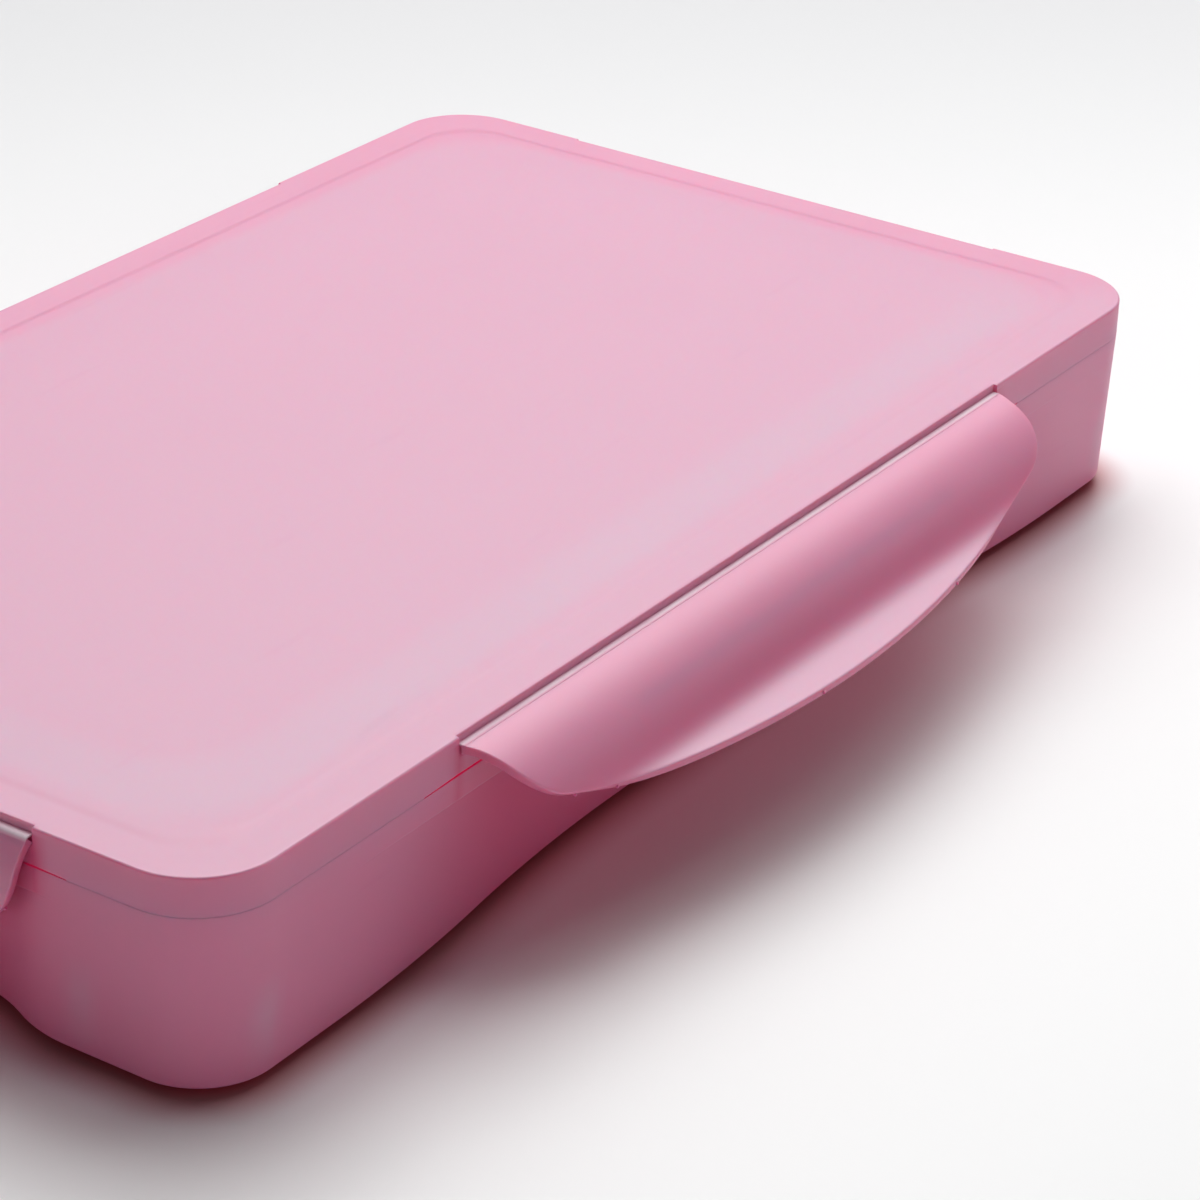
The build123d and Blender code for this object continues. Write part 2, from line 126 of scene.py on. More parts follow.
# where a tone is strongest, and its reach to either side
CREASE_AT = (8.9, 1.6)
VALLEY_AT = (VALLEY, 7.0)
END_GLOW_AT = (0.2, 2.4)             # past the hinge's seat, where glow and shade are painted as if light came through the flap's end
HIGHLIGHT_AT = ((145.5, 5.5), (64.0, 5.5))  # painted highlights low on the walls, towards the corners
HIGHLIGHT_HEIGHT = (9.5, 9.5)
# painted shade and glow on the wall under a flap: how far past the flap's end it starts, over what length and up to
# what height it grows
LIGHT_PAST, LIGHT_FADE, LIGHT_HEIGHT = 22.0, 50.0, 25.0


# ---------------------------------------------------------------- shader maths
def srgb(red, green, blue):
    """A linear colour from 0-255 display values."""
    share = np.array([red, green, blue]) / 255
    return tuple(np.where(share <= 0.04045, share / 12.92, ((share + 0.055) / 1.055) ** 2.4))


class Field:
    """One output of a node.  Arithmetic on it adds Math nodes."""

    def __init__(self, finish, socket):
        self.finish, self.socket = finish, socket

    def maths(self, operation, first, second=0.0):
        return self.finish.add("ShaderNodeMath", {"operation": operation}, {0: first, 1: second})["Value"]

    def __add__(self, other):
        return self.maths("ADD", self, other)

    __radd__ = __add__

    def __mul__(self, other):
        return self.maths("MULTIPLY", self, other)

    __rmul__ = __mul__

    def __sub__(self, other):
        return self.maths("SUBTRACT", self, other)

    def __rsub__(self, other):
        return self.maths("SUBTRACT", other, self)

    def __pow__(self, other):
        return self.maths("POWER", self, other)

    def size(self):
        """The value without its sign."""
        return self.maths("ABSOLUTE", self)

    def at_least(self, least):
        return self.maths("MAXIMUM", self, least)

    def step(self, low, high):
        """0 below low, 1 above high, and a smooth rise between."""
        values = {"Value": self, "From Min": low, "From Max": high}
        settings = {"interpolation_type": "SMOOTHSTEP"}
        return self.finish.add("ShaderNodeMapRange", settings, values)["Result"]


class Node:
    """A node whose outputs are read by name or number."""

    def __init__(self, finish, node):
        self.finish, self.node = finish, node

    def __getitem__(self, name):
        return Field(self.finish, self.node.outputs[name])


class Finish:
    """A material under construction."""

    def __init__(self, name):
        self.material = bpy.data.materials.new(name)
        self.material.use_nodes = True
        self.tree = self.material.node_tree
        self.tree.nodes.clear()

    def add(self, kind, settings=None, values=None):
        """Add a node: its settings first, then its sockets' values or links."""
        node = self.tree.nodes.new(kind)
        for name, setting in (settings or {}).items():
            setattr(node, name, setting)
        for key, value in (values or {}).items():
            socket = node.inputs[key]
            if isinstance(value, Field):
                self.tree.links.new(value.socket, socket)
            else:
                socket.default_value = value
        return Node(self, node)

    def place(self, scale=(1, 1, 1), turn=0.0):
        """Object coordinates, stretched and turned about Z."""
        coordinates = self.add("ShaderNodeTexCoord")["Object"]
        values = {"Vector": coordinates, "Scale": scale, "Rotation": (0, 0, turn)}
        return self.add("ShaderNodeMapping", None, values)["Vector"]

    def noise(self, scale, detail=2.0, where=None, roughness=0.5):
        values = {"Vector": where or self.place(), "Scale": scale, "Detail": detail, "Roughness": roughness}
        return self.add("ShaderNodeTexNoise", None, values)["Fac"]

    def mix(self, share, first, second):
        """A colour between two, by share.  The colour sockets of the node are numbers 6 and 7 in, 2 out."""
        settings = {"data_type": "RGBA", "clamp_factor": True}
        first, second = (end if isinstance(end, Field) else (*end, 1) for end in (first, second))
        return self.add("ShaderNodeMix", settings, {0: share, 6: first, 7: second})[2]

    def bump(self, height, distance, strength=1.0):
        values = {"Height": height, "Distance": distance, "Strength": strength}
        return self.add("ShaderNodeBump", None, values)["Normal"]

    def attribute(self, name):
        """A value that make_piece has written on the mesh's points."""
        return self.add("ShaderNodeAttribute", {"attribute_name": name})["Fac"]

    def surface(self, **values):
        """Close the material with a Principled shader; an underscore stands for a space."""
        named = {key.replace("_", " "): value for key, value in values.items()}
        shader = self.add("ShaderNodeBsdfPrincipled", None, named)["BSDF"]
        self.add("ShaderNodeOutputMaterial", None, {"Surface": shader})
        return self.material


# ---------------------------------------------------------------- finishes
PLASTIC_IOR = 1.49
FINE, SOFT = 0.00002, 0.0002         # depths of the mould's grain, and of ripples and strands, in metres

# the case's plastic: its own pink, a painted sheen, and painted shade and glow up to the crimson of the slots
ROSE = (srgb(225, 127, 166), srgb(228, 132, 171))
SHEEN_COLOUR = srgb(213, 161, 188)
SHADE_COLOUR, SHADE_GLOW = srgb(200, 50, 98), srgb(74, 6, 34)
SLOT_SHADE, SLOT_GLOW = srgb(190, 10, 60), srgb(146, 0, 50)


def case_plastic():
    """Soft satin polypropylene: a faint cloud in the melt, fine mould grain and hairline scuffs.

    Three attributes paint light into the colour: a paler sheen where the lid's top, the flaps and a few edges
    face the lamps, shade with a faint glow where the plastic lies in shadow, and the crimson glow of the slots.
    """
    finish = Finish("case_plastic")
    cloud = finish.noise(14.0, 2.0)
    grain = finish.noise(2200.0, 2.0)
    scuffs = finish.noise(260.0, 3.0, finish.place((0.12, 1.0, 1.0), 0.5)).step(0.66, 0.74)
    painted_sheen, shade, gap = (finish.attribute(name) for name in ("painted_sheen", "shade", "gap"))
    # painted sheen over the plastic's own pink, then painted shade, then the slot's painted crimson
    pale = finish.mix(painted_sheen, finish.mix(cloud.step(0.3, 0.7), *ROSE), SHEEN_COLOUR)
    return finish.surface(
        Base_Color=finish.mix(gap, finish.mix(shade, pale, SHADE_COLOUR), SLOT_SHADE),
        Roughness=0.40 + cloud * 0.06 + scuffs * 0.06 + painted_sheen * 0.03,
        Normal=finish.bump(grain * 0.6 + scuffs * -0.4, FINE, 0.35),
        # the shade and the slot are painted to glow, as if light came through the plastic
        Emission_Color=finish.mix(gap, finish.mix(shade, (0, 0, 0), SHADE_GLOW), SLOT_GLOW),
        Emission_Strength=1.0,
        IOR=PLASTIC_IOR,
        Specular_IOR_Level=0.85,
        Subsurface_Weight=0.7,
        Subsurface_Radius=(1.0, 0.22, 0.35),
        Subsurface_Scale=0.0022,
    )


def hinge_plastic():
    """The bent web of the hinge, whitened by its first folds where the attribute fold says so."""
    finish = Finish("hinge_plastic")
    blush = finish.noise(420.0, 3.0, finish.place((0.2, 1.0, 1.0)))
    fold = finish.attribute("fold")
    white = finish.mix(blush.step(0.25, 0.75), srgb(228, 190, 207), srgb(234, 212, 222))
    grain = finish.noise(3000.0, 2.0)
    return finish.surface(
        Base_Color=finish.mix(fold, srgb(225, 140, 174), white),
        Roughness=0.5 + blush * 0.1,
        Normal=finish.bump(grain, FINE, 0.4),
    )


def moulded_white(name, colour, roughness, subsurface=0.15):
    """A white moulded part: a faint cloud in the melt, a fine grain and handling scuffs."""
    finish = Finish(name)
    cloud = finish.noise(30.0, 2.0)
    grain = finish.noise(1800.0, 2.0)
    scuffs = finish.noise(320.0, 3.0, finish.place((0.1, 1.0, 1.0), 0.9)).step(0.64, 0.72)
    deep = tuple(channel * 0.94 for channel in colour)
    return finish.surface(
        Base_Color=finish.mix(cloud.step(0.3, 0.7), colour, deep),
        Roughness=roughness + cloud * 0.06 + scuffs * 0.12,
        Normal=finish.bump(grain * 0.6 + scuffs * -0.5, FINE, 0.35),
        IOR=PLASTIC_IOR,
        Subsurface_Weight=subsurface,
        Subsurface_Radius=(1.0, 0.85, 0.75),
        Subsurface_Scale=0.002,
    )


def clear_film():
    """Thin clear film, drawn tight: it shows by its gloss and its fine ripples."""
    finish = Finish("clear_film")
    ripple = finish.noise(140.0, 2.0, finish.place((1.0, 0.3, 1.0), 0.4))
    haze = finish.noise(60.0, 2.0).step(0.35, 0.75)
    return finish.surface(
        Base_Color=finish.mix(haze, srgb(236, 240, 243), srgb(246, 248, 250)),
        Roughness=0.08 + haze * 0.08,
        Normal=finish.bump(ripple, SOFT, 0.5),
        Alpha=0.06 + haze * 0.05,
        IOR=1.5,
    )


def gouache(name, pigment):
    """Thick paint in its cup: a soft swirl left by the filling, fine grit and a satin skin."""
    finish = Finish(name)
    swirl = finish.add(
        "ShaderNodeTexWave",
        {"wave_type": "RINGS", "rings_direction": "Z"},
        {"Vector": finish.place(turn=0.3), "Scale": 55.0, "Distortion": 7.0, "Detail": 2.0, "Detail Scale": 0.7},
    )["Fac"]
    grit = finish.noise(1500.0, 2.0)
    cloud = finish.noise(90.0, 2.0).step(0.3, 0.7)
    pale = tuple(channel * 0.9 + 0.03 for channel in pigment)
    deep = tuple(channel * 0.8 for channel in pigment)
    return finish.surface(
        Base_Color=finish.mix(cloud, pale, deep),
        Roughness=0.42 + cloud * 0.12,
        Normal=finish.bump(swirl * 0.8 + grit * 0.08 + cloud * 0.5, 0.0005, 0.5),
        IOR=1.45,
        Coat_Weight=0.12 + swirl * 0.1,
        Coat_Roughness=0.25,
    )


def brush_lacquer():
    """Lacquered wood: a grain that runs along the handle, under a clear coat with a few nicks."""
    finish = Finish("brush_lacquer")
    grain = finish.noise(900.0, 4.0, finish.place((0.03, 1.0, 1.0)), 0.6)
    nicks = finish.noise(700.0, 2.0).step(0.7, 0.76)
    return finish.surface(
        Base_Color=finish.mix(grain.step(0.3, 0.7), srgb(214, 150, 172), srgb(196, 128, 152)),
        Roughness=0.35 + nicks * 0.2,
        Normal=finish.bump(grain * 0.3 + nicks * -0.7, 0.00005, 0.4),
        Coat_Weight=0.8,
        Coat_Roughness=0.08,
        IOR=1.5,
    )


def ferrule_metal():
    """Drawn aluminium with rolled crimps round it, a fine grain along it and a little tarnish."""
    finish = Finish("ferrule_metal")
    crimps = finish.add(
        "ShaderNodeTexWave",
        {"wave_type": "BANDS", "bands_direction": "X"},
        {"Vector": finish.place(), "Scale": 110.0, "Distortion": 0.0},
    )["Fac"]
    drawn = finish.noise(2500.0, 2.0, finish.place((0.02, 1.0, 1.0)))
    tarnish = finish.noise(240.0, 3.0).step(0.4, 0.8)
    return finish.surface(
        Base_Color=finish.mix(tarnish, srgb(226, 226, 229), srgb(198, 196, 196)),
        Metallic=1.0,
        Roughness=0.2 + drawn * 0.12 + tarnish * 0.1,
        Normal=finish.bump(crimps.step(0.75, 0.95) * -0.8 + drawn * 0.1, SOFT, 0.6),
    )


def brush_hair():
    """Nylon hair: fine strands along the tuft, in two tones."""
    finish = Finish("brush_hair")
    strands = finish.noise(4200.0, 3.0, finish.place((0.02, 1.0, 1.0)), 0.7)
    tone = finish.noise(300.0, 2.0, finish.place((0.3, 1.0, 1.0)))
    colour = finish.mix(strands.step(0.3, 0.7), srgb(120, 66, 30), srgb(192, 134, 82))
    return finish.surface(
        Base_Color=finish.mix(tone.step(0.35, 0.7), colour, srgb(168, 108, 60)),
        Roughness=0.4 + strands * 0.2,
        Normal=finish.bump(strands, SOFT, 0.8),
        Sheen_Weight=0.3,
    )


# ---------------------------------------------------------------- surfaces
def rounded_run(corners, steps=5):
    """Points along a polyline whose corners are rounded.

    A corner of radius r that turns by an angle a is replaced by an arc tangent to both runs: it starts
    r tan(a / 2) before the corner and is walked in equal steps of its angle.
    """
    places = np.array([corner[:2] for corner in corners], float)
    radii = [corner[2] for corner in corners[1:-1]]
    points = [places[:1]]
    for before, here, after, radius in zip(places, places[1:], places[2:], radii):
        back, on = before - here, after - here
        back, on = back / np.linalg.norm(back), on / np.linalg.norm(on)
        turn = pi - acos(np.clip(back @ on, -1, 1))
        if radius < 1e-6 or turn < 1e-4:
            points.append(here[None])
            continue
        centre = here + (back + on) / np.linalg.norm(back + on) * radius / cos(turn / 2)
        first, last = (here + way * radius * tan(turn / 2) - centre for way in (back, on))
        share = np.linspace(0, 1, steps + 1)[:, None]
        points.append(centre + (first * np.sin((1 - share) * turn) + last * np.sin(share * turn)) / sin(turn))
    points.append(places[-1:])
    return np.concatenate(points)


def round_loop(half, radius, stations, corner_steps):
    """Once round a rounded rectangle: corner centres, outward normals, side and place along it.

    Each straight side has its own stations, and each corner turns in equal steps.
    """
    parts = []
    for side, turn in enumerate((-90, 0, 90, 180)):
        outward = np.round([cos(radians(turn)), sin(radians(turn))], 9)
        along = np.array([-outward[1], outward[0]])
        reach, depth = half[side % 2] - radius, half[1 - side % 2] - radius
        places = stations[side % 2]
        straight = along * places[:, None] + outward * depth
        parts.append((straight, np.tile(outward, (len(places), 1)), np.full(len(places), side), places))
        angles = radians(turn) + np.arange(1, corner_steps) * pi / 2 / corner_steps
        normals = np.stack([np.cos(angles), np.sin(angles)], 1)
        corner = np.tile(along * reach + outward * depth, (len(angles), 1))
        parts.append((corner, normals, np.full(len(angles), side), np.full(len(angles), FAR)))
    return [np.concatenate(column) for column in zip(*parts)]


def side_stations(reach, spacing, marks):
    """Even places along a straight side, with a close pair at each place where its section changes."""
    pairs = [sign * mark + edge for mark in marks for sign in (-1, 1) for edge in (-STEP, STEP)]
    even = np.linspace(-reach, reach, int(2 * reach / spacing) + 1)
    return np.unique(np.concatenate([even, pairs]).round(6))


def sweep(loop, inset, height, gather, ease=0.0):
    """Carry rows of (inset, height) round a loop: centre + normal x (radius - inset).

    ease moves a row from the first loop's centres and radius to the second's, and gather draws it in
    towards the loop's middle line, where its two halves meet.
    """
    (centres, wide_centres), normals, (radius, wide_radius), middle = loop
    ease = np.broadcast_to(ease, inset.shape)[..., None]
    reach = radius + (wide_radius - radius) * ease - inset[..., None]
    plan = centres + (wide_centres - centres) * ease + normals * reach
    spine = np.stack([np.clip(plan[..., 0], -middle, middle), np.zeros_like(plan[..., 0])], -1)
    plan = plan + (spine - plan) * gather[..., None]
    return np.concatenate([plan, np.broadcast_to(height + FOOT, inset.shape)[..., None]], -1)


def closed_ends(rows, times):
    """Rows with the first and the last repeated, for the rings that close a surface's two ends."""
    return np.concatenate([np.repeat(rows[:1], times, 0), rows, np.repeat(rows[-1:], times, 0)])


def grid_quads(rows, columns, wrap_rows=False, wrap_columns=False):
    """Corner numbers of each quad of a grid, closed on itself where wrapped."""
    index = np.arange(rows * columns).reshape(rows, columns)
    if wrap_rows:
        index = np.concatenate([index, index[:1]], 0)
    if wrap_columns:
        index = np.concatenate([index, index[:, :1]], 1)
    quads = np.stack([index[:-1, :-1], index[:-1, 1:], index[1:, 1:], index[1:, :-1]], -1)
    return quads.reshape(-1, 4)


def make_piece(name, parts, material, sharp=40.0):
    """One object from parts, each of them points in mm, quads and named values of the points.

    What coincides within a part is merged, and its faces are turned to point outwards.
    """
    mesh = bpy.data.meshes.new(name)
    whole = bmesh.new()
    for points, quads, layers in parts:
        piece = bpy.data.meshes.new("part")
        piece.from_pydata((points.reshape(-1, 3) * MM).tolist(), [], quads.tolist())
        for layer, values in layers.items():
            piece.attributes.new(layer, "FLOAT", "POINT").data.foreach_set("value", values.astype(float).ravel())
        shape = bmesh.new()
        shape.from_mesh(piece)
        bmesh.ops.remove_doubles(shape, verts=shape.verts, dist=1e-6)
        bmesh.ops.dissolve_degenerate(shape, edges=shape.edges, dist=1e-7)
        if shape.calc_volume(signed=True) < 0:
            bmesh.ops.reverse_faces(shape, faces=shape.faces)
        shape.to_mesh(piece)
        shape.free()
        whole.from_mesh(piece)
        bpy.data.meshes.remove(piece)
    whole.to_mesh(mesh)
    whole.free()
    mesh.shade_smooth()
    mesh.set_sharp_from_angle(angle=radians(sharp))
    mesh.materials.append(material)
    piece = bpy.data.objects.new(name, mesh)
    bpy.context.scene.collection.objects.link(piece)
    return piece


def fit_piece(piece, body, slot, *nodes):
    """Let a piece move with a body and stand for its nodes; its slot is not used."""
    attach(piece, body)
    if nodes:
        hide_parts(*nodes)
    return piece


# ---------------------------------------------------------------- the case's plan
side_places = [
    side_stations(half - CORNER, SPACING, (seat, slot)) for half, seat, slot in zip(HALF, SEAT_HALF, SLOT_HALF)
]
centres, normals, side_of, place_of = round_loop(HALF, CORNER, side_places, CORNER_STEPS)
panel_places = [places * (half - PANEL_CORNER) / (half - CORNER) for places, half in zip(side_places, HALF)]
panel_centres = round_loop(HALF, PANEL_CORNER, panel_places, CORNER_STEPS)[0]
CASE_LOOP = ((centres, panel_centres), normals, (CORNER, PANEL_CORNER), HALF[0] - HALF[1])
LOOP_COUNT = len(place_of)


def by_side(pair):
    """A size at each loop point, from its pair for the long and the short sides."""
    return np.array(pair)[side_of % 2]


def recess_share():
    """Depth of the finger recess at each loop point, as a share of its full depth.

    Two equal arcs carry the wall in: over a run L and a depth h each has the radius (L^2 + h^2) / 4h.
    gone is how far along that run a point lies.
    """
    run = (by_side(RECESS_OPENING) - by_side(RECESS_FLAT)) / 2
    radius = (run**2 + RECESS_DEPTH**2) / (4 * RECESS_DEPTH)
    gone = np.clip(by_side(RECESS_OPENING) / 2 - np.abs(place_of), 0, run)
    first = radius - np.sqrt(radius**2 - gone**2)
    last = RECESS_DEPTH - radius + np.sqrt(radius**2 - (run - gone) ** 2)
    return np.where(gone < run / 2, first, last) / RECESS_DEPTH


def within(halves):
    """1 at loop points within a half length of the middle of their side, and 0 elsewhere."""
    return (np.abs(place_of) < by_side(halves)).astype(float)


def drawn_in(height):
    """Inset of the drafted wall at a height."""
    return DRAFT * (RIM_TOP - height) / RIM_TOP


def smooth(share):
    """A smooth rise from 0 to 1."""
    share = np.clip(share, 0, 1)
    return share * share * (3 - 2 * share)


def rise(value, start, width):
    """A smooth rise from 0 at a start to 1 a width further on."""
    return smooth((value - start) / width)


def bell(value, place, reach):
    """1 at a place, falling smoothly to 0 at a reach to either side."""
    return smooth(1 - np.abs((value - place) / reach))


def corner_highlights():
    """1 at loop points on the middle of a smear, fading to either side."""
    outline = np.abs(centres + normals * CORNER)
    on_long, on_short = np.abs(normals[:, 1]) > 0.6, np.abs(normals[:, 0]) > 0.9
    return bell(outline[:, 0], *HIGHLIGHT_AT[0]) * on_long + bell(outline[:, 1], *HIGHLIGHT_AT[1]) * on_short


def flap_end_glow():
    """1 at loop points beside a flap's end, where glow and shade are painted as if light came through its edge,
    fading over a few millimetres.
    """
    return bell(np.abs(place_of) - by_side(SEAT_HALF), *END_GLOW_AT)


def light_through(height):
    """Where shade and glow are painted on the wall, as if light that has passed a flap fell there: most near the
    rim, and beside the flap's ends.
    """
    under_flap = rise(by_side(FLAP_HALF) - np.abs(place_of), -LIGHT_PAST, LIGHT_FADE)
    upward = 0.6 + 0.4 * rise(height, 0, LIGHT_HEIGHT)
    return np.maximum(upward * under_flap, flap_end_glow() * (height > RIM_FOOT))


def slot_ends():
    """How strongly the slot's crimson glow is painted at loop points: it shows past the flap's ends only, and less
    on the short sides.
    """
    hidden = within(np.subtract(SEAT_HALF, (9, 1)))
    return (within(SLOT_HALF) - hidden) * by_side((1, 0.7))


def gather_rows(count, ends):
    """How far each row is drawn in to the middle line: by the shares given at both ends, and not between."""
    gather = np.concatenate([ends, np.zeros(count), ends[::-1]])
    return np.repeat(gather[:, None], LOOP_COUNT, 1)


def base_shell(material):
    """The base: one profile carried round the case.

    A row holds its inset, its height, its share of the recess's depth, a further inset that is only
    there under the rim, whether it lies in the slot, and whether it is an edge with a painted highlight.
    """
    edge, step, ceiling = drawn_in(RIM_FOOT), drawn_in(0) + FOOT_MARGIN, RIM_FOOT + WALL
    outside = rounded_run(
        [
            (step + 2, -FOOT, 0),
            (step, -FOOT, 0.5),
            (step, 0, 0.5),
            (drawn_in(0), 0, 0.6),
            (drawn_in(4), 4, 0),
            (drawn_in(12), 12, 0),
            (drawn_in(20), 20, 0),
            (drawn_in(RIM_FOOT - 0.6), RIM_FOOT - 0.6, 0),
            (edge, RIM_FOOT - 0.25, 0),
        ]
    )
    rows = [(inset, height, 1, 0, 0, 0) for inset, height in outside]
    # under the rim the recess runs out and leaves the rim's straight underside
    rows += [
        (edge, RIM_FOOT - 0.07, 0.97, 0.02, 0, 0),
        (edge, RIM_FOOT, 0.9, 0.1, 0, 0),
        (edge, RIM_FOOT, 0.1, 0.3, 0, 0),
    ]
    rim = rounded_run(
        [
            (edge + 0.3, RIM_FOOT, 0),
            (edge, RIM_FOOT, 0.25),
            (edge - 0.01, RIM_FOOT + 0.4, 0),
            (edge * 0.5, (RIM_FOOT + RIM_TOP) / 2, 0),
            (0, RIM_TOP, 0.03),
            (0.12, RIM_TOP, 0),
            (0.6, RIM_TOP, 0),
            (LIP + FIT, RIM_TOP, 0.1),
            (LIP + FIT, RIM_TOP + TONGUE, 0.3),
            (WALL, RIM_TOP + TONGUE, 0.3),
            (WALL, RIM_TOP, 0),
            (WALL + edge, ceiling, 0.2),
            (WALL + edge + 0.4, ceiling, 0),
        ]
    )
    for inset, height in rim:
        low = height < RIM_FOOT + 0.3 and inset < WALL
        draft = drawn_in(height)
        # the slot's crimson glow is painted on the rim's top inside the slot
        mark = 0.1 < inset < 0.7 and height == RIM_TOP
        # a highlight is painted along the rim's lower edge, where the recess runs under it
        lit_edge = RIM_FOOT < height < RIM_FOOT + 0.3 and inset < edge + 0.3
        rows.append((draft if low else inset, height, 0, inset - draft if low else 0, mark, lit_edge))
    hollow = step + WALL
    inside = rounded_run(
        [
            (WALL + edge, ceiling, 0),
            (WALL + drawn_in(20), 20, 0),
            (WALL + drawn_in(10), 10, 0),
            (WALL + drawn_in(WALL), WALL, 1.0),
            (hollow, WALL, 0.3),
            (hollow, WALL - FOOT, 0.3),
            (hollow + 2, WALL - FOOT, 0),
        ]
    )
    rows += [(inset, height, 1, 0, 0, 0) for inset, height in inside]
    gather = gather_rows(len(rows), (1, 0.5))
    rows = closed_ends(np.array(rows, float), 2)
    wall, level, share, under_rim, in_slot, lit_edge = (rows[:, column : column + 1] for column in range(6))
    depth = recess_share() * RECESS_DEPTH
    inset = wall + share * depth + under_rim * np.clip(depth / 0.3, 0, 1)
    height = np.repeat(level, LOOP_COUNT, 1)
    points = sweep(CASE_LOOP, inset, height, gather)
    outer = (wall < drawn_in(0) + 0.1) & (height > 0) & (height < RIM_TOP)
    # painted highlights low on the walls towards the corners
    smear = SHEEN["smear"] * outer * corner_highlights() * bell(height, *HIGHLIGHT_HEIGHT)
    # painted in: the slot's crimson glow, shade with a glow on the walls under the flaps, and highlights
    layers = {
        "gap": in_slot * slot_ends(),
        "shade": SHADE["wall"] * outer * light_through(height),
        "painted_sheen": np.maximum(SHEEN["rim"] * lit_edge * np.clip(depth / 2, 0, 1), smear),
    }
    quads = grid_quads(len(rows), LOOP_COUNT, wrap_columns=True)
    return make_piece("base_shell", [(points, quads, layers)], material)


def hinge_profile(plain_skirt):
    """The skirt over a hinge, with as many points as the plain one.

    It has the groove that the flap's root turns in, the flat by which that leaves, along the back of the
    latched sheet, and the edge that is set back above.
    """
    angles = np.radians(np.linspace(-30, 0, 5))
    groove = np.stack([np.cos(angles), np.sin(angles)], 1) * GROOVE + [-HINGE_PROUD, HINGE_HEIGHT]
    leave = groove[:1] - groove[0, 0] * np.array([[1.0, sqrt(3)]])
    setback = rounded_run(
        [
            (GROOVE - HINGE_PROUD - 0.02, HINGE_HEIGHT, 0),
            (HINGE_STEP - 0.1, HINGE_HEIGHT + 0.2, 0),
            (HINGE_STEP - 0.05, HINGE_HEIGHT + 1.0, 0),
            (HINGE_STEP, BORDER, 0.3),
            (BORDER_START, BORDER, 0),
        ],
        steps=len(plain_skirt) - 12,
    )
    skirt = np.concatenate([[[0, SKIRT_FOOT + 0.1]], leave, groove, setback[1:]])
    return resample(skirt, len(plain_skirt))


def lid_shell(material):
    """The lid: a profile carried round the case, with a second one over each hinge and a third over each slot."""
    ceiling, inner_top, lip_foot = BORDER - LID_SHEET, RIM_TOP + TONGUE + FIT, RIM_TOP + LIP_GAP
    inner = rounded_run(
        [
            (10, ceiling, 0),
            (WALL, ceiling, 0.8),
            (WALL, inner_top, 0.1),
            (LIP, inner_top, 0.1),
            (LIP, lip_foot, 0.1),
            (0.03, lip_foot, 0.01),
            (0.02, RIM_TOP + 0.6, 0),
            (0, SKIRT_FOOT, 0),
        ]
    )
    plain_skirt = rounded_run([(0, SKIRT_FOOT, 0), (0, BORDER, LID_EDGE), (BORDER_START, BORDER, 0)], steps=10)
    levels = np.linspace(SKIRT_FOOT + 0.1, plain_skirt[1, 1] - 0.05, 9)
    plain_skirt = np.concatenate([np.stack([levels * 0, levels], 1), plain_skirt[1:]])
    places = np.concatenate([[2.0, 3.5, 5.0, 6.5], np.arange(7.0, 12.0, 0.5), np.arange(12.0, 31.0, 1.5)])
    crown = CROWN[0] * rise(places, 8, 2.5) + CROWN[1] * rise(places, 9.5, 19)
    panel = np.stack([places, BORDER + crown], 1)
    plain = np.concatenate([inner, plain_skirt, panel])
    hinge = np.concatenate([inner, hinge_profile(plain_skirt), panel])
    lip_rows = (plain[:, 1] < SLOT_TOP + 0.3) & (plain[:, 0] <= LIP)
    slotted = plain.copy()
    slotted[lip_rows, 1] = SLOT_TOP + (slotted[lip_rows, 1] - RIM_TOP) * 0.3
    gather = gather_rows(len(plain), (1.0, 0.66, 0.33))
    plain, hinge, slotted = (closed_ends(profile, 3) for profile in (plain, hinge, slotted))
    seat, slot = within(SEAT_HALF), within(SLOT_HALF) * slot_taper()
    rows = plain[:, None] + (hinge - plain)[:, None] * seat[:, None] + (slotted - plain)[:, None] * slot[:, None]
    inset, height = rows[..., 0], rows[..., 1]
    on_top = (plain[:, :1] >= 2.0) & (plain[:, 1:] > BORDER - 0.5)
    ease = np.where(on_top, rise(inset, 4, 17), 0)
    points = sweep(CASE_LOOP, inset, height, gather, ease)
    pale_rows = on_top | (plain[:, 1:] > BORDER - 0.2)
    quads = grid_quads(len(plain), LOOP_COUNT, wrap_columns=True)
    return make_piece("lid_shell", [(points, quads, lid_tones(inset, height, on_top, pale_rows))], material)


def lid_tones(inset, height, on_top, pale_rows):
    """Where light and shade are painted on the lid.

    Its top has a painted sheen, with a paler ring inside the border that is strongest at the near left corner. A
    faint crease of painted shade runs along the panel's foot, and shade with a glow is painted beside the flaps'
    ends and over their hinges, where the set-back band is also painted paler.
    """
    # the sheen is painted stronger at the near left corner, which faces the viewer, and the crease's shade stronger
    # on the left side
    near = smooth(0.5 - 0.5 * normals.sum(1))
    leftward = 0.3 + 0.7 * np.clip(-1.6 * normals[:, 0], 0, 1)
    border, ring = (everywhere + more * near for everywhere, more in (BORDER_SHEEN, RING_SHEEN))
    sheen = border + rise(inset, *RING_AT) * (ring - border) - rise(inset, *INSIDE_AT) * INSIDE_SHEEN * near
    over_hinge = within(SEAT_HALF) * rise(height, *HINGE_TONE_AT) * (inset < 1.2)
    crease = np.where(on_top, SHADE["crease"] * bell(inset, *CREASE_AT), 0) * leftward
    skirt = (inset < 1.2) & (height < BORDER - 1.5)
    shade = np.where(skirt, SHADE["wall"] * flap_end_glow(), crease)
    return {
        "painted_sheen": np.maximum(np.where(pale_rows, sheen, 0), SHEEN["hinge"] * over_hinge),
        "shade": np.maximum(shade, SHADE["hinge"] * over_hinge),
    }


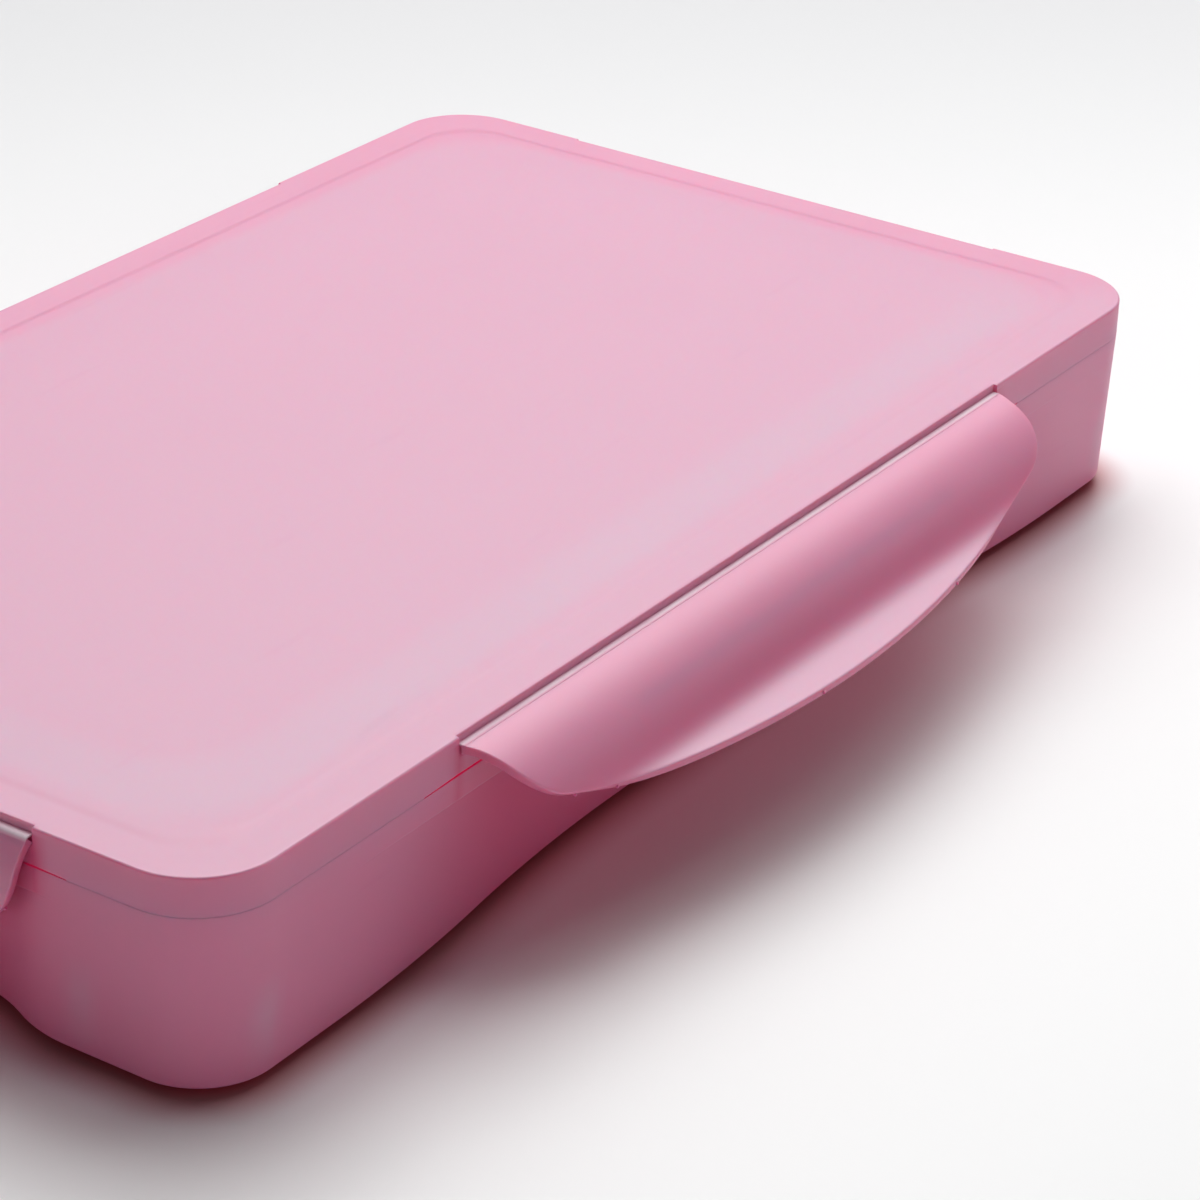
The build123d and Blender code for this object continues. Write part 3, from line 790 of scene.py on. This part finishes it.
def slot_taper():
    """How high the slot is at each loop point: full beside the flap, and a third at its own end."""
    half, flap = by_side(SLOT_HALF), by_side(SEAT_HALF)
    return 0.35 + 0.65 * np.clip((half - np.abs(place_of)) / (half - flap), 0, 1)


def resample(points, count):
    """As many points as asked for along a run, at equal steps between its own points' numbers."""
    old = np.linspace(0, 1, len(points))
    new = np.linspace(0, 1, count)
    return np.stack([np.interp(new, old, points[:, axis]) for axis in (0, 1)], 1)


# ---------------------------------------------------------------- flaps
SHEET = np.linspace(0, 34, 1361)     # places along a flap's sheet, from the hinge
FIRST_ANGLE, LAST_ANGLE = 30, -39    # the sheet's angle to the wall at the hinge, and at most at its ends
TURN_RATE = 60 / 17.0                # degrees per millimetre
BEND = (                             # places along the middle of the sheet, and its angle there
    (0, FIRST_ANGLE), (16.6, -29.5), (17.8, -30), (19, -27), (20, -20.5), (21, -11.2), (22, -1.5),
    (23, 8), (24, 14.5), (25, 19), (26, 22.5), (30, 23.5), (34, 24),
)  # fmt: skip


def section(angle):
    """How far out and down the sheet has come at each place: the sums of the sine and cosine of its angle."""
    step = SHEET[1]
    turns = np.radians(angle)
    out = np.concatenate([[0], np.cumsum(np.sin((turns[1:] + turns[:-1]) / 2)) * step])
    down = np.concatenate([[0], np.cumsum(np.cos((turns[1:] + turns[:-1]) / 2)) * step])
    return out, down, turns


# in the middle a shoulder turns in steadily, then a sharp bend leads out to a nearly straight lip
MIDDLE = section(np.interp(SHEET, *zip(*BEND)))
END = section(np.maximum(FIRST_ANGLE - TURN_RATE * SHEET, LAST_ANGLE))


def kind_of(side):
    """The place of a side's sizes in their pairs: 0 for a long side and 1 for a short one."""
    return 0 if side in ("front", "back") else 1


def walk(points):
    """How far along a run each of its points lies, as a share of the whole."""
    walked = np.concatenate([[0], np.cumsum(np.linalg.norm(np.diff(points, axis=0), axis=1))])
    return walked / walked[-1]


def flap_outline(kind):
    """The flap's edge on the flat sheet: a slanted end, a corner's arc, the free edge's arc, and its mirror.

    The corner's centre lies a corner's radius inside the end line, and on the circle whose radius is the
    free edge's less the corner's, about the same centre.
    """
    half, reach, length = FLAP_HALF[kind], FLAP_END_REACH[kind], FLAP_LENGTH[kind]
    start, corner = np.array([-half, 0.0]), np.array([FLAP_SLANT[kind] - half, reach])
    sag = length - reach
    bow = (corner[0] ** 2 + sag**2) / (2 * sag)
    bow_centre = np.array([0, length - bow])
    run = (corner - start) / np.linalg.norm(corner - start)
    inward = np.array([run[1], -run[0]])
    origin = start + inward * FLAP_CORNER - bow_centre
    along = -(origin @ run) + sqrt((origin @ run) ** 2 - origin @ origin + (bow - FLAP_CORNER) ** 2)
    centre = bow_centre + origin + run * along
    first = atan2(-inward[1], -inward[0])
    last = atan2(*(centre - bow_centre)[::-1])
    turns = np.linspace(first, last, 16)
    line = start + run * np.linspace(0, along, 12)[:-1, None]
    bend = centre + FLAP_CORNER * np.stack([np.cos(turns), np.sin(turns)], 1)
    bows = np.linspace(last, pi / 2, 40)[1:]
    edge = bow_centre + bow * np.stack([np.cos(bows), np.sin(bows)], 1)
    left = np.concatenate([line, bend, edge])
    return np.concatenate([left, left[-2::-1] * [-1, 1]])


def sheet_points(kind, place, sheet, lift):
    """Points of a latched flap (along, out, down) from places along the hinge and along the sheet.

    The section is the end's, drawn towards the middle's by a weight that fades at the flap's ends.
    """
    weight = smooth((FLAP_HALF[kind] - np.abs(place)) / BEND_FADE)
    out, down, turns = (
        np.interp(sheet, SHEET, end) + weight * (np.interp(sheet, SHEET, middle) - np.interp(sheet, SHEET, end))
        for middle, end in zip(MIDDLE, END)
    )
    return np.stack([place, out + lift * np.cos(turns), down - lift * np.sin(turns)], -1)


def place_flap(points, side, opening):
    """Turn (along, out, down) points about the hinge by its opening and set them on a side of the case."""
    angle = radians(opening)
    out = points[..., 1] * cos(angle) + points[..., 2] * sin(angle)
    down = points[..., 2] * cos(angle) - points[..., 1] * sin(angle)
    turn = radians(FACING[side])
    outward = np.array([cos(turn), sin(turn), 0])
    along = np.array([-sin(turn), cos(turn), 0])
    hinge = outward * (HALF[1 - kind_of(side)] + HINGE_PROUD) + np.array([0, 0, HINGE_HEIGHT + FOOT])
    upward = np.array([0, 0, 1.0])
    return hinge + along * points[..., :1] + outward * out[..., None] - upward * down[..., None]


def flap(side, material):
    """A closed sheet ruled between the hinge edge and the outline, with small rounds along its edge."""
    kind = kind_of(side)
    edge = flap_outline(kind)
    walked = walk(edge)
    root = np.stack([(walked * 2 - 1) * FLAP_HALF[kind], walked * 0], 1)
    tangent = np.gradient(edge, axis=0)
    outward = np.stack([-tangent[:, 1], tangent[:, 0]], 1)
    outward /= np.linalg.norm(outward, axis=1)[:, None]
    outward *= np.sign(outward[len(outward) // 2, 1])
    fade = smooth(np.minimum(walked, 1 - walked) / 0.02)[:, None]
    half = FLAP_SHEET / 2
    even = np.linspace(0, 1, 30)
    shy = edge - outward * FLAP_EDGE * fade
    ruled = [root + (shy - root) * share for share in smooth(even) * 0.3 + even * 0.7]
    rounded = [
        (edge - outward * FLAP_EDGE * (1 - sin(angle)) * fade, FLAP_EDGE * (1 - cos(angle)))
        for angle in np.radians(np.linspace(0, 90, 5))
    ]
    around = [(row, half) for row in ruled] + [(row, half - drop) for row, drop in rounded[1:]]
    around += [(row, drop - half) for row, drop in rounded[:0:-1]] + [(row, -half) for row in ruled[::-1]]
    around += [
        (root - np.array([0, half * cos(angle)]) * fade, half * sin(angle))
        for angle in np.radians(np.linspace(-90, 90, 10))[1:-1]
    ]
    rows = np.array([row for row, _ in around])
    lift = np.repeat(np.array([[up] for _, up in around]), len(edge), 1)
    points = place_flap(sheet_points(kind, rows[..., 0], rows[..., 1], lift), side, OPENING[side])
    quads = grid_quads(len(rows), len(edge), wrap_rows=True)
    sheet = rows[..., 1]
    # painted shade in the sheet's valley and on its edge face, and a painted sheen that grows out along the lip
    valley = bell(sheet, *VALLEY_AT)
    edge_face = np.abs(lift) < half - 0.2
    painted_sheen = SHEEN["sheet"] + SHEEN["lip"] * rise(sheet, *LIP_AT) - SHEEN["valley"] * valley
    layers = {
        "painted_sheen": painted_sheen * np.where(edge_face, SHEEN["edge"], 1),
        "shade": np.maximum(SHADE["valley"] * valley, SHADE["edge"] * edge_face),
    }
    parts = [(points, quads, layers), hook_ridge(side, kind)]
    parts += [gate_stub(side, kind, edge[at], outward[at]) for at in GATES]
    piece = make_piece(f"flap_{side}", parts, material, sharp=50)
    return fit_piece(piece, f"latch_{side}", "case_plastic", f"latch_{side}")


def gate_stub(side, kind, place, outward):
    """What a mould's gate leaves on the sheet's edge: a small block that narrows outwards."""
    along = np.array([outward[1], -outward[0]])
    corners = np.array([[-1, -1], [1, -1], [1, 1], [-1, 1]])
    rings = []
    for reach, half, thick in GATE_RINGS:
        flat = place + outward * reach + along * half * corners[:, :1]
        rings.append(sheet_points(kind, flat[:, 0], flat[:, 1], thick * corners[:, 1]))
    points = place_flap(np.array(rings), side, OPENING[side])
    # the stub is painted in shade, with its glow
    layers = {"shade": np.full((len(rings), len(corners)), SHADE["gate"])}
    return points, grid_quads(len(rings), len(corners), wrap_columns=True), layers


def hook_ridge(side, kind):
    """The catch: a wedge section carried along the middle of the flap's inner face."""
    core, half = [HOOK_CORE] * len(HOOK), HOOK_HALF[kind]
    rings = ((core, -half), (HOOK, -half), (HOOK, half), (core, half))
    points = np.array([[(end, out, down) for out, down in ring] for ring, end in rings])
    return place_flap(points, side, OPENING[side]), grid_quads(len(rings), len(HOOK), wrap_columns=True), {}


def hinge_web(side, material):
    """The thin strip that joins a flap to the lid: along the lid's ledge, over the root and on to the flap."""
    half = FLAP_HALF[kind_of(side)] - WEB_MARGIN
    lean = radians(FIRST_ANGLE + OPENING[side])
    radius = FLAP_SHEET / 2 + WEB_GAP
    path = [(-WEB_REACH[0], radius), (-0.5, radius)]
    path += [(radius * cos(angle), radius * sin(angle)) for angle in np.linspace(pi / 2, lean, 8)]
    tip = np.array(path[-1]) + WEB_REACH[1] * np.array([sin(lean), -cos(lean)])
    path = np.array([*path, tip])
    tangent = np.gradient(path, axis=0)
    normal = np.stack([-tangent[:, 1], tangent[:, 0]], 1) / np.linalg.norm(tangent, axis=1)[:, None]
    ring = np.concatenate([path, (path - normal * WEB)[::-1]])
    core = path - normal * WEB / 2
    middle = np.concatenate([core, core[::-1]])
    along = np.linspace(-half, half, 40)
    sections = np.concatenate([middle[None], np.tile(ring, (len(along), 1, 1)), middle[None]])
    places = np.repeat(closed_ends(along, 1)[:, None], len(ring), 1)
    points = np.stack([places, sections[..., 0], -sections[..., 1]], -1)
    fold = np.clip(1.6 * bell(walk(path), 0.5, 0.5), 0, 1)
    layers = {"fold": np.tile(np.concatenate([fold, fold[::-1]]), (len(sections), 1))}
    quads = grid_quads(len(sections), len(ring), wrap_columns=True)
    piece = make_piece(f"hinge_{side}", [(place_flap(points, side, 0), quads, layers)], material)
    ends = place_flap(np.array([[0, out, -up] for out, up in path[[0, -1]]]), side, 0) * MM
    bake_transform(piece)
    return piece


# ---------------------------------------------------------------- assemble
plastic = case_plastic()
whitened = hinge_plastic()
fit_piece(base_shell(plastic), "base", "case_plastic", "case_base")
fit_piece(lid_shell(plastic), "lid", "case_plastic", "lid")
for side in OPENING:
    flap(side, plastic)
    hinge_web(side, whitened)

record = frame["record"]
finishes = {
    "case_plastic": plastic,
    "rack_plastic": moulded_white("rack_plastic", srgb(236, 236, 234), 0.4),
    "palette_plastic": moulded_white("palette_plastic", srgb(244, 244, 243), 0.22),
    "cup_plastic": moulded_white("cup_plastic", srgb(238, 239, 239), 0.3, 0.4),
    "clear_film": clear_film(),
    "brush_lacquer": brush_lacquer(),
    "ferrule_metal": ferrule_metal(),
    "brush_hair": brush_hair(),
}
for entry in record["materials"]:
    if entry["slot"].startswith("paint_"):
        pigment = srgb(*(255 * channel for channel in entry["base_color"]))
        finishes[entry["slot"]] = gouache(entry["slot"], pigment)
for part in record["subparts"]:
    node = frame["nodes"][part["node"]]
    node.data.materials.clear()
    node.data.materials.append(finishes[part["material_slot"]])


# ---------------------------------------------------------------- floor, lamps and camera
FLOOR_REACH = 4.0
# the far paper is painted darker, as if less light reached it
PAPER, SHADED_FAR_PAPER = (0.93, 0.93, 0.93), (0.64, 0.64, 0.65)
PAINTED_BOUNCE = (0.93, 0.68, 0.72)           # painted pink of the light bounced off the flaps on to the paper
CONTACT_SHADOW = srgb(185, 60, 78)          # painted crimson contact shadow along the case's foot
FLOOR_GLOW = 0.04                    # seen by the camera, in reflections and through films, and lights nothing
ROOM = 0.02
LAMPS = (                            # name, place, size and watts of each
    ("soft_box", (1.05, 0.55, 0.95), (1.3, 0.9), 9.0),
    ("ceiling", (0.45, 0.6, 1.5), (1.4, 1.4), 18.0),
    ("side_ceiling", (0.9, -0.1, 1.4), (1.2, 1.2), 7.2),
    ("front_fill", (0.2, -1.5, 0.35), (1.6, 0.6), 2.8),
    ("left_fill", (-1.5, -0.1, 0.35), (1.6, 0.6), 2.8),
    ("right_fill", (1.5, -0.6, 0.7), (1.3, 0.9), 2.2),
)
VIEW_FROM = (-0.57853, -0.43831, 0.36743 + FOOT * MM)
AZIMUTH, ELEVATION, ROLL = -56.766, 26.735, -1.853
FOCAL_LENGTH, SENSOR = 120.0755, 36.0


def floor_finish():
    """Satin paper with painted light and shade: a crimson contact shadow along the foot of the case, the pink of
    the plastic's bounced light under its flaps, and a darker far side.

    distance is how far a place lies outside the foot's outline: the outline is a rounded rectangle that the
    recesses draw in.
    """
    finish = Finish("floor")
    ground = finish.add("ShaderNodeSeparateXYZ", None, {"Vector": finish.place()})
    across, along = ground["X"], ground["Y"]
    # painted darker towards the back
    far = (across * 0.75 + along * 0.75).step(0.0, 0.5)
    drawn = [
        1 - axis.size().step(flat / 2 * MM, opening / 2 * MM)
        for axis, flat, opening in zip((across, along), RECESS_FLAT, RECESS_OPENING)
    ]
    gap_x, gap_y = (
        (axis.size() + recess * RECESS_DEPTH * MM - (half - CORNER) * MM).at_least(0.0)
        for axis, half, recess in zip((across, along), HALF, drawn[::-1])
    )
    distance = (gap_x * gap_x + gap_y * gap_y) ** 0.5 - CORNER * MM
    # the painted contact shadow along the foot, and the painted pink of bounced light by the flaps
    shadowed = 1 - distance.step(-0.006, 0.008)
    blush = (1 - distance.step(0.0, 0.05)) * (drawn[0] + drawn[1]) * 0.5
    colour = finish.mix(shadowed, finish.mix(blush, finish.mix(far, PAPER, SHADED_FAR_PAPER), PAINTED_BOUNCE), CONTACT_SHADOW)
    board = finish.add("ShaderNodeBsdfPrincipled", None, {"Base Color": colour, "Roughness": 0.42, "IOR": 1.5})
    rays = finish.add("ShaderNodeLightPath")
    seen = rays["Is Camera Ray"] + rays["Is Glossy Ray"] + rays["Is Transmission Ray"]
    # the glow is left out close to the case, so the paper is painted a little darker round it
    strength = seen * distance.step(0.01, 0.12) * FLOOR_GLOW
    glow = finish.add("ShaderNodeEmission", None, {"Color": (1, 1, 1, 1), "Strength": strength})
    both = finish.add("ShaderNodeAddShader", None, {0: board["BSDF"], 1: glow["Emission"]})
    finish.add("ShaderNodeOutputMaterial", None, {"Surface": both["Shader"]})
    return finish.material


def studio():
    """A pale satin floor, soft lamps above and behind the case, weak ones to fill its sides, and a dim room."""
    reach = FLOOR_REACH
    corners = [(-reach, -reach, 0), (reach, -reach, 0), (reach, reach, 0), (-reach, reach, 0)]
    mesh = bpy.data.meshes.new("floor")
    mesh.from_pydata(corners, [], [(0, 1, 2, 3)])
    mesh.materials.append(floor_finish())
    floor = bpy.data.objects.new("floor", mesh)
    bpy.context.scene.collection.objects.link(floor)

    world = bpy.data.worlds.new("room")
    bpy.context.scene.world = world
    world.use_nodes = True
    background = world.node_tree.nodes["Background"]
    background.inputs["Color"].default_value = (1, 1, 1, 1)
    background.inputs["Strength"].default_value = ROOM

    for name, place, size, watts in LAMPS:
        lamp = bpy.data.lights.new(name, "AREA")
        lamp.shape = "RECTANGLE"
        lamp.size, lamp.size_y = size
        lamp.energy = watts
        box = bpy.data.objects.new(name, lamp)
        bpy.context.scene.collection.objects.link(box)
        box.location = place
        box.rotation_mode = "QUATERNION"
        box.rotation_quaternion = (-Vector(place)).to_track_quat("-Z", "Y")


def camera():
    """The viewer stands over the near left corner and looks down along the case."""
    azimuth, elevation, roll = radians(AZIMUTH), radians(ELEVATION), radians(ROLL)
    back = Vector((sin(azimuth) * cos(elevation), -cos(azimuth) * cos(elevation), sin(elevation)))
    data = bpy.data.cameras.new("camera")
    data.sensor_width = SENSOR
    data.lens = FOCAL_LENGTH
    data.clip_start, data.clip_end = 0.05, 20
    eye = bpy.data.objects.new("camera", data)
    bpy.context.scene.collection.objects.link(eye)
    eye.rotation_mode = "QUATERNION"
    eye.rotation_quaternion = (-back).to_track_quat("-Z", "Y") @ Quaternion((0, 0, 1), -roll)
    eye.location = VIEW_FROM
    bpy.context.scene.camera = eye


studio()
camera()
bpy.context.scene.view_settings.view_transform = "Standard"
